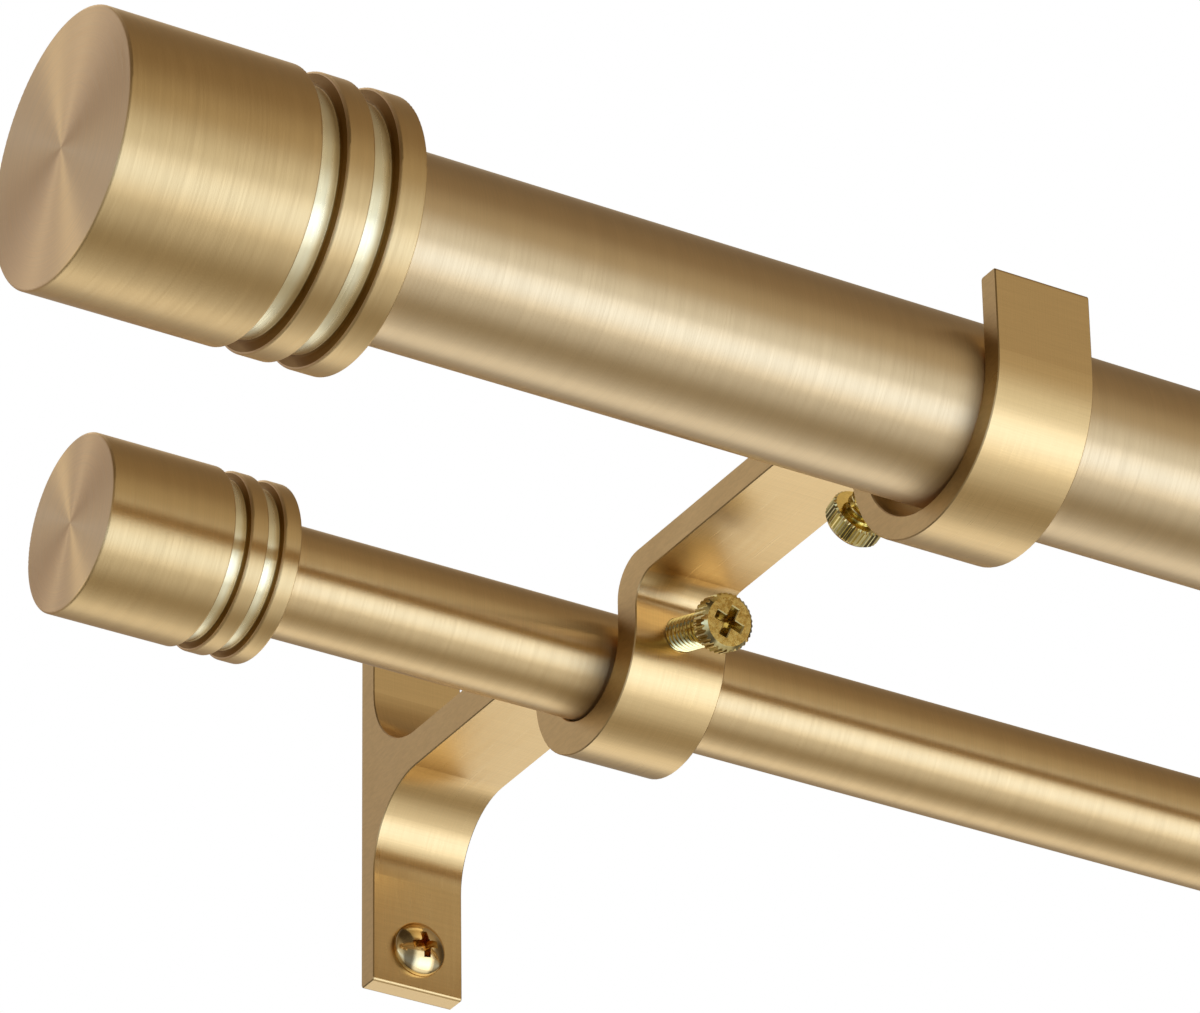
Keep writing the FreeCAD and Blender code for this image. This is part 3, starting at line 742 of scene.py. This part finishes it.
class POLE_OT_tubes(bpy.types.Operator):
    """Brush the outer and inner tubes of both poles"""
    bl_idname = "pole.tubes"
    bl_label = "Tubes"

    def execute(self, context):
        finish = context.scene.pole_finish
        # The back pole takes the shaded copy of the gold, painted shade
        for pole, colour in (("front", finish.satin), ("back", finish.back_pole_shaded_satin)):
            gold = turned_gold(
                pole + "_tube_gold", middle(pole + "_outer_tube"), colour, finish.tube_roughness,
                finish.tube_brushing)
            dress(gold, pole + "_outer_tube", pole + "_inner_tube")
        return {"FINISHED"}


class POLE_OT_finials(bpy.types.Operator):
    """Brush the finials, with brightly cut grooves whose walls are in painted shade, and satin ends in a
    lighter painted colour
    """
    bl_idname = "pole.finials"
    bl_label = "Finials"

    def execute(self, context):
        finish = context.scene.pole_finish
        for pole in POLES:
            node = pole + "_left_finial"
            low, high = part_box(node)
            gold = turned_gold(
                pole + "_finial_gold", middle(node), finish.turned, finish.finial_roughness,
                finish.finial_brushing, ends=(-high.x, -low.x), outer=radius(node))
            dress(gold, node, pole + "_right_finial")
        return {"FINISHED"}


class POLE_OT_brackets(bpy.types.Operator):
    """Finish the two extruded brackets"""
    bl_idname = "pole.brackets"
    bl_label = "Brackets"

    def execute(self, context):
        dress(extruded_gold("bracket_gold"), "left_bracket", "right_bracket")
        return {"FINISHED"}


class POLE_OT_inner_parts(bpy.types.Operator):
    """Finish the nylon bushes, glides and plugs and the steel studs"""
    bl_idname = "pole.inner_parts"
    bl_label = "Inner parts"

    def execute(self, context):
        finish = context.scene.pole_finish
        nylon = moulded("nylon", finish.nylon)
        steel = plated("zinc_plated_steel", finish.steel, rough=0.25)
        for pole in POLES:
            dress(nylon, pole + "_mouth_bush", pole + "_glide", pole + "_left_plug", pole + "_right_plug")
            dress(steel, pole + "_left_stud", pole + "_right_stud")
        return {"FINISHED"}


class POLE_OT_thumb_screws(bpy.types.Operator):
    """Model the thumb screws with a rolled thread, a fluted head and a cross recess"""
    bl_idname = "pole.thumb_screws"
    bl_label = "Thumb screws"

    def execute(self, context):
        size = context.scene.pole_thumb_screws
        outer, height = size.head / 2 * MM, size.height * MM
        crest, length, pitch = size.shank / 2 * MM, size.length * MM, size.pitch * MM
        foot, cone, slope = size.foot_chamfer * MM, size.cone_width * MM, size.cone_height * MM
        tip, taper = size.tip_width * MM, size.tip_height * MM
        # A standard thread is 0.61 of its pitch deep
        root = crest - 0.61 * pitch
        edge, bite, sunk = 0.05 * MM, 0.05 * MM, 0.2 * MM
        sides = size.flutes * 4
        head = turned_piece("head", [
            (outer - foot, 0), (outer, foot), (outer, height - slope),
            (outer - cone + edge, height - edge), (outer - cone - edge / 5, height)], sides)
        self.cut_flutes(sides, outer, height, size.flute_depth * MM, slope / cone)
        sink_recess(head, height)
        shank = turned_piece(
            "shank", [(crest - tip, -length), (root, taper - length), (root, sunk)], TURN_STEPS)
        ridge = thread(
            "ridge", root=root - bite, crest=crest, foot=pitch * 0.76, land=pitch * 0.2, pitch=pitch,
            start=-length + tip + pitch / 2, end=0.0)
        # Painted shade: the core between the thread's ridges takes the recess's darker colour
        coat_slots(shank, RECESS)
        coat_slots(ridge, SHELL)
        screw = join("thumb_screw", [head, shank, ridge])
        smooth_by_angle(screw, 28)
        finish = context.scene.pole_finish
        # Painted shade: the recess, and the thread's core between the ridges, take a darker copy of the
        # face's colour
        recess = darker(finish.brass_face, 0.7)
        screw.data.materials[SHELL] = plated("plated_brass", finish.brass, rough=0.07, dull=0.74)
        screw.data.materials[RECESS] = plated("plated_brass_recess", recess, rough=0.16, dull=0.7)
        # Painted reflection: the flat faces take the more orange copy of the brass
        screw.data.materials[FACE] = plated("plated_brass_face", finish.brass_face, rough=0.2, dull=0.85)
        for hand in HANDS:
            for pole, sense, turn in (("front", 1, size.front_turn), ("back", -1, size.back_turn)):
                node = f"{hand}_{pole}_thumb_screw"
                out = Vector((0, sense * math.cos(size.tilt), -math.sin(size.tilt)))
                place = seat(node, out, length, turn)
                copy_to(screw, node + "_detailed", place, f"{hand}_{pole}_thumb", node)
        bpy.data.objects.remove(screw)
        return {"FINISHED"}

    def cut_flutes(self, sides, outer, height, depth, steepness):
        """Pull two of every four vertices round the head inwards, and down the cone with the flutes."""
        step = math.tau / sides

        def in_flute(point):
            on_rim = point.co.xy.length > outer - 10 * TINY
            return on_rim and round(math.atan2(point.co.y, point.co.x) / step) % 4 >= 2

        bpy.ops.object.mode_set(mode="EDIT")
        pick("vert", lambda point: in_flute(point) and point.co.z > height / 2)
        bpy.ops.transform.translate(value=(0, 0, steepness * depth))
        pick("vert", in_flute)
        share = 1 - depth / outer
        bpy.ops.transform.resize(value=(share, share, 1), center_override=(0, 0, 0))
        bpy.ops.object.mode_set(mode="OBJECT")


class POLE_OT_wall_screws(bpy.types.Operator):
    """Model the wall screws with a domed head, a cross recess, a neck and a coarse thread"""
    bl_idname = "pole.wall_screws"
    bl_label = "Wall screws"

    def execute(self, context):
        size = context.scene.pole_wall_screws
        outer, height, rim = size.head / 2 * MM, size.height * MM, size.rim * MM
        crest, length, pitch = size.shank / 2 * MM, size.length * MM, size.pitch * MM
        waist, neck, point = size.neck / 2 * MM, size.neck_length * MM, size.point * MM
        # The core of a coarse thread is about two thirds as thick as the thread
        root = 0.66 * crest
        edge = size.edge * MM
        shoulder, fade_start, fade_end = 0.8 * MM, 0.3 * MM, 1.4 * MM
        sunk = 0.1 * MM
        head = turned_piece("head", [
            (waist / 2, 0), (outer - edge, 0), (outer, edge), (outer, rim - edge),
            (outer - 0.04 * MM, rim - 0.02 * MM), *self.dome_rings(outer, rim, height, steps=14)], sides=72)
        sink_recess(head, height)
        shank = turned_piece("shank", [
            (0, -length), (root, point - length), (root, -neck - shoulder), (waist, -neck), (waist, sunk)],
            sides=32)
        ridge = thread(
            "ridge", root=0.35 * MM, crest=crest, foot=pitch * 0.62, land=pitch * 0.07, pitch=pitch,
            start=-length + 0.5 * MM, end=-neck - pitch)
        limit = turned_piece("limit", [
            (0, -length), (crest, point - length), (crest, -neck - fade_end), (root, -neck - fade_start)],
            sides=48)
        boolean(ridge, limit, "INTERSECT")
        for piece in (shank, ridge):
            coat_slots(piece, SHELL)
        screw = join("wall_screw", [head, shank, ridge])
        smooth_by_angle(screw, 30)
        finish = context.scene.pole_finish
        screw.data.materials[SHELL] = plated("polished_pale_gold", finish.polished, rough=0.09, dull=0.86)
        # Painted shade: the recess takes the groove walls' dark shade, made lighter
        recess = darker(finish.deep, 1.9)
        screw.data.materials[RECESS] = plated("pale_gold_recess", recess, rough=0.12, dull=0.7)
        screw.data.materials.pop(index=FACE)
        for hand in HANDS:
            for level in ("upper", "lower"):
                node = f"{hand}_{level}_wall_screw"
                place = seat(node, Vector((0, -1, 0)), length, size.turn)
                copy_to(screw, node + "_detailed", place, "fixed", node)
        bpy.data.objects.remove(screw)
        return {"FINISHED"}

    def dome_rings(self, outer, rim, height, steps):
        """The rings of a round dome over the rim, as (radius, height)."""
        rise = height - rim
        ball = (outer ** 2 + rise ** 2) / (2 * rise)
        half = math.asin(outer / ball)
        angles = [half * (1 - step / steps) for step in range(1, steps + 1)]
        return [(ball * math.sin(angle), height - ball * (1 - math.cos(angle))) for angle in angles]


class POLE_OT_stage(bpy.types.Operator):
    """Set up the floor, the soft light and the camera"""
    bl_idname = "pole.stage"
    bl_label = "Stage"

    def execute(self, context):
        size = context.scene.pole_stage
        self.build_world(context, size)
        self.build_floor(size)
        self.add_light("key_light", place=(0.95, -1.25, -0.86), size=(1.9, 1.1), level=size.key_level)
        self.add_light("fill_light", place=(0.85, 1.1, -0.95), size=(2.1, 0.8), level=size.fill_level)
        self.build_camera(context, size)
        context.scene.view_settings.view_transform = "Standard"
        return {"FINISHED"}

    def way_to_camera(self, size):
        """The direction from the poles to the camera."""
        return Vector((
            math.sin(size.azimuth) * math.cos(size.elevation),
            -math.cos(size.azimuth) * math.cos(size.elevation), math.sin(size.elevation)))

    def build_world(self, context, size):
        """Soft light by direction, and plain white where the camera looks past the object."""
        world = bpy.data.worlds.new("soft_studio")
        context.scene.world = world
        world.use_nodes = True
        tree = world.node_tree
        tree.nodes.clear()
        way = tree.nodes.new("ShaderNodeTexCoord").outputs["Generated"]
        x, y, z = split(tree, way)
        turn = calc(tree, "ARCTAN2", z, calc(tree, "MULTIPLY", y, -1.0))
        share = calc(tree, "ADD", calc(tree, "DIVIDE", turn, math.tau), 0.5)
        stops = [(angle / 360 + 0.5, *darker(colour, 1 / STRENGTH)) for angle, *colour in AROUND]
        around = self.bands(tree, share, stops)
        along = self.bands(tree, calc(tree, "ADD", calc(tree, "MULTIPLY", x, 0.5), 0.5), ALONG)
        room = arrow(tree, "MULTIPLY", around, scaled(tree, along, 1 / FULL_SHARE))
        sight = -self.way_to_camera(size)
        centre = Vector((-sight.x, sight.y, sight.z))
        level = Vector((centre.z, 0, -centre.x)).normalized()
        rise = centre.cross(level)
        spin = calc(
            tree, "ARCTAN2", arrow(tree, "DOT_PRODUCT", way, rise), arrow(tree, "DOT_PRODUCT", way, level))
        spin = calc(tree, "MODULO", calc(tree, "ADD", calc(tree, "DIVIDE", spin, math.pi), CARD_TURN), 1.0)
        card = self.bands(tree, spin, CARD)
        beside = ramp(tree, arrow(tree, "DOT_PRODUCT", way, centre), *CARD_EDGE)
        light = blend(tree, beside, room, card)
        studio = tree.nodes.new("ShaderNodeBackground")
        studio.inputs["Strength"].default_value = STRENGTH
        link(tree, light, studio.inputs["Color"])
        white = tree.nodes.new("ShaderNodeBackground")
        white.inputs["Color"].default_value = (1, 1, 1, 1)
        mix = tree.nodes.new("ShaderNodeMixShader")
        link(tree, tree.nodes.new("ShaderNodeLightPath").outputs["Is Camera Ray"], mix.inputs[0])
        link(tree, studio.outputs[0], mix.inputs[1])
        link(tree, white.outputs[0], mix.inputs[2])
        link(tree, mix.outputs[0], tree.nodes.new("ShaderNodeOutputWorld").inputs[0])

    def bands(self, tree, value, stops):
        """A colour band with soft steps. stops are (place, red, green, blue)."""
        node = tree.nodes.new("ShaderNodeValToRGB")
        node.color_ramp.interpolation = "EASE"
        elements = node.color_ramp.elements
        while len(elements) < len(stops):
            elements.new(0.5)
        for element, stop in zip(elements, stops):
            element.position = stop[0]
        for element, stop in zip(elements, stops):
            element.color = (*stop[1:], 1.0)
        link(tree, value, node.inputs[0])
        return node.outputs[0]

    def build_floor(self, size):
        """A plain pale floor far under the object."""
        deselect()
        bpy.ops.mesh.primitive_grid_add(x_subdivisions=8, y_subdivisions=8, size=size.floor_width)
        floor = bpy.context.object
        floor.name = "floor"
        floor.location = (0, 0, -size.floor_drop)
        bpy.ops.object.transform_apply(location=True, rotation=True, scale=True)
        floor.visible_glossy = False
        material, tree, surface = new_finish("pale_floor", metallic=0.0)
        surface.inputs["Roughness"].default_value = 0.9
        place = tree.nodes.new("ShaderNodeTexCoord").outputs["Object"]
        pale = blend(tree, cloud(tree, place, scale=3.0), (0.93, 0.93, 0.92), (0.96, 0.96, 0.95))
        link(tree, pale, surface.inputs["Base Color"])
        link(tree, pale, surface.inputs["Emission Color"])
        surface.inputs["Emission Strength"].default_value = 0.35
        floor.data.materials.append(material)

    def add_light(self, name, place, size, level):
        """A soft area light aimed at the poles, as bright over its area as its level says."""
        lamp = bpy.data.lights.new(name, "AREA")
        lamp.shape = "RECTANGLE"
        lamp.size, lamp.size_y = size
        lamp.energy = 4 * level * size[0] * size[1]
        light = bpy.data.objects.new(name, lamp)
        bpy.context.scene.collection.objects.link(light)
        place = Vector(place)
        back = (place - AIM).normalized()
        up = back.cross(Vector((1, 0, 0))).normalized()
        light.matrix_world = aimed(up.cross(back), up, back, place)
        light.visible_camera = False

    def build_camera(self, context, size):
        """The camera that took the photograph, with its own roll."""
        back = self.way_to_camera(size)
        right = Vector((math.cos(size.azimuth), math.sin(size.azimuth), 0))
        up = back.cross(right)
        cos_roll, sin_roll = math.cos(size.roll), math.sin(size.roll)
        right, up = right * cos_roll + up * sin_roll, up * cos_roll - right * sin_roll
        lens = bpy.data.cameras.new("camera")
        lens.sensor_width = 36
        lens.lens = size.lens
        camera = bpy.data.objects.new("camera", lens)
        context.scene.collection.objects.link(camera)
        camera.matrix_world = aimed(right, up, back, Vector(size.place))
        context.scene.camera = camera


OPERATORS = (
    POLE_OT_stage, POLE_OT_tubes, POLE_OT_finials, POLE_OT_brackets, POLE_OT_inner_parts,
    POLE_OT_thumb_screws, POLE_OT_wall_screws)
SETTINGS = {
    "pole_finish": FinishSettings, "pole_thumb_screws": ThumbScrewSettings,
    "pole_wall_screws": WallScrewSettings, "pole_recess": RecessSettings, "pole_stage": StageSettings}


class POLE_PT_panel(bpy.types.Panel):
    """Lists the pieces of the curtain pole"""
    bl_idname = "POLE_PT_panel"
    bl_label = "Curtain pole"
    bl_space_type = "VIEW_3D"
    bl_region_type = "UI"
    bl_category = "Curtain pole"

    def draw(self, context):
        for operator in OPERATORS:
            self.layout.operator(operator.bl_idname)


def register():
    for kind in (*SETTINGS.values(), *OPERATORS, POLE_PT_panel):
        bpy.utils.register_class(kind)
    for name, kind in SETTINGS.items():
        setattr(bpy.types.Scene, name, PointerProperty(type=kind))


def unregister():
    for name in SETTINGS:
        delattr(bpy.types.Scene, name)
    for kind in (POLE_PT_panel, *reversed(OPERATORS), *reversed(SETTINGS.values())):
        bpy.utils.unregister_class(kind)


def main():
    register()
    for operator in OPERATORS:
        group, name = operator.bl_idname.split(".")
        getattr(getattr(bpy.ops, group), name)()
    deselect()


if __name__ == "__main__":
    main()
